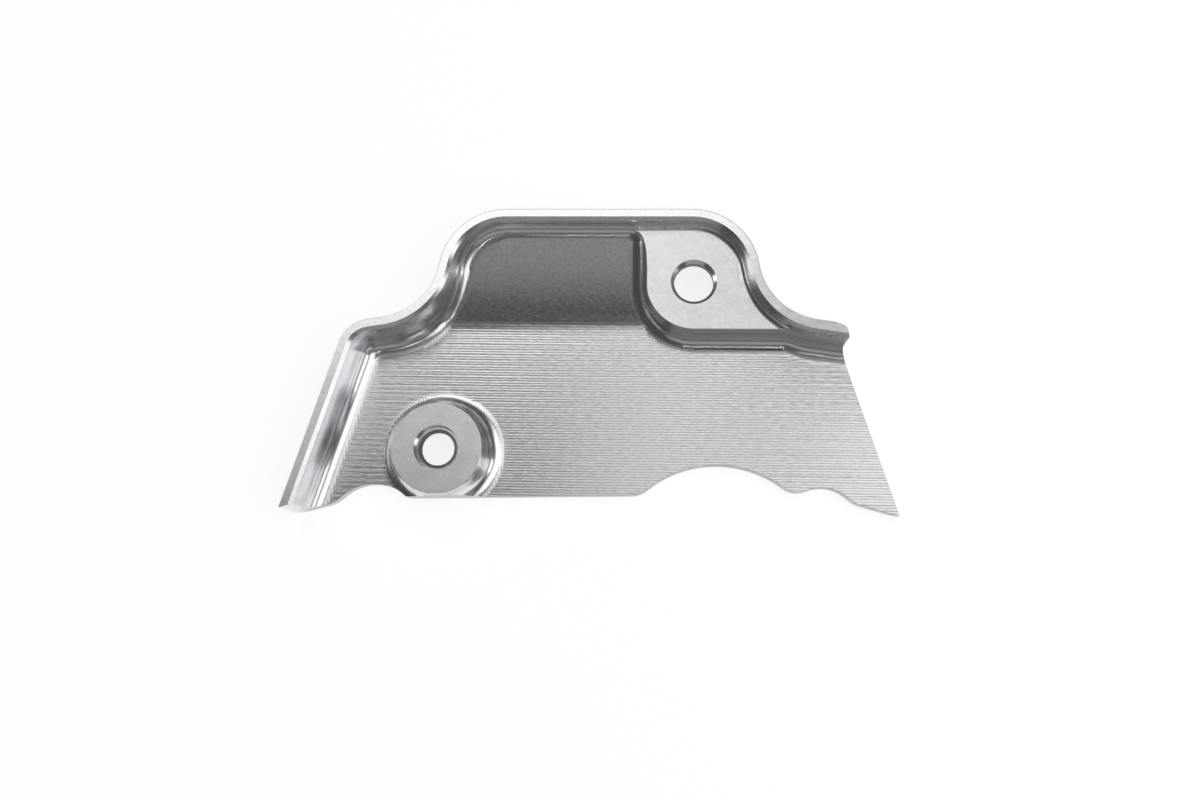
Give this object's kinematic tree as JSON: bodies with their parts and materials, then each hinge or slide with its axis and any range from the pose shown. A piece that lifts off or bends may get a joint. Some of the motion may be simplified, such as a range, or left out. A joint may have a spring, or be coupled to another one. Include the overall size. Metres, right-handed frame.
{
  "type": "gear position sensor cover",
  "caption": "Milled aluminium cover: thin floor with a raised hump, a rim wall on three sides and two recessed screw seats, open at its lower edge and right end.",
  "frame": {"origin": "middle of the cover's length and width, on its flat outer face", "axes": "+X along the cover towards its open end, +Y towards the hump over the sensor, +Z out of the pocket towards the engine case"},
  "size_m": [0.1008, 0.0506, 0.0115],
  "materials": {
    "milled_aluminium": "bare milled aluminium with cutter marks"
  },
  "bodies": {
    "root": {"sensor_cover": "milled_aluminium"}
  },
  "joints": []
}
